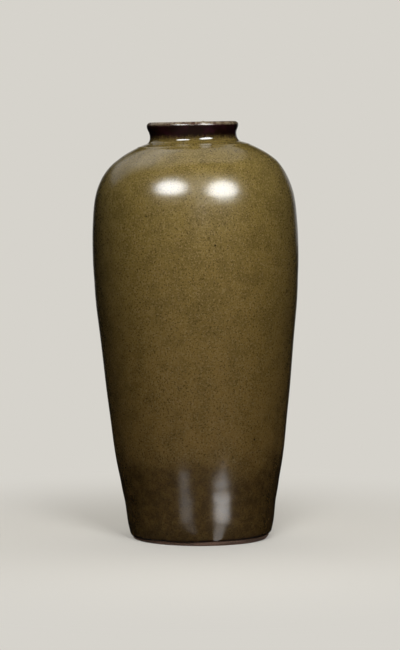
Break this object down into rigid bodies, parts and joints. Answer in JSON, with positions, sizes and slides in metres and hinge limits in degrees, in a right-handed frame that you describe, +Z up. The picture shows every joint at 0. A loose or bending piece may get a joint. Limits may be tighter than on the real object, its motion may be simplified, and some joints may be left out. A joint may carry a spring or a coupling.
{
  "type": "jar",
  "caption": "Tall shouldered stoneware jar with a short rolled-lip neck, speckled olive glaze, dark glazed neck band and bare ground foot; open at the mouth to hold stems or stores.",
  "frame": {"origin": "on the table plane under the foot, below the centre of the jar's overall width and depth", "axes": "+Z up, along the jar's height; -Y towards the viewer of the picture; the jar leans 1.1 degrees towards -X"},
  "size_m": [0.1484, 0.1482, 0.3005],
  "materials": {
    "bare_stoneware": "bare fired clay, reddish brown, ground under the foot",
    "stoneware_body": "fired buff-brown stoneware, hidden under glaze",
    "joint_slip": "fired slip in the luted joints, hidden",
    "tea_dust_glaze": "satin gloss olive-brown glaze with fine dark and yellow-green specks",
    "iron_brown_glaze": "glossy purplish brown iron glaze",
    "thin_lip_glaze": "pale greyish glaze, thin over the lip",
    "inside_glaze": "plain dark olive-brown glaze"
  },
  "bodies": {
    "root": {"foot_ring": "bare_stoneware", "base_glaze": "inside_glaze", "lower_section": "stoneware_body", "waist_joint_slip": "joint_slip", "shoulder_section": "stoneware_body", "neck_joint_slip": "joint_slip", "neck_collar": "stoneware_body", "lip_glaze": "thin_lip_glaze", "neck_glaze_band": "iron_brown_glaze", "outer_glaze": "tea_dust_glaze", "inner_glaze": "inside_glaze"}
  },
  "joints": []
}
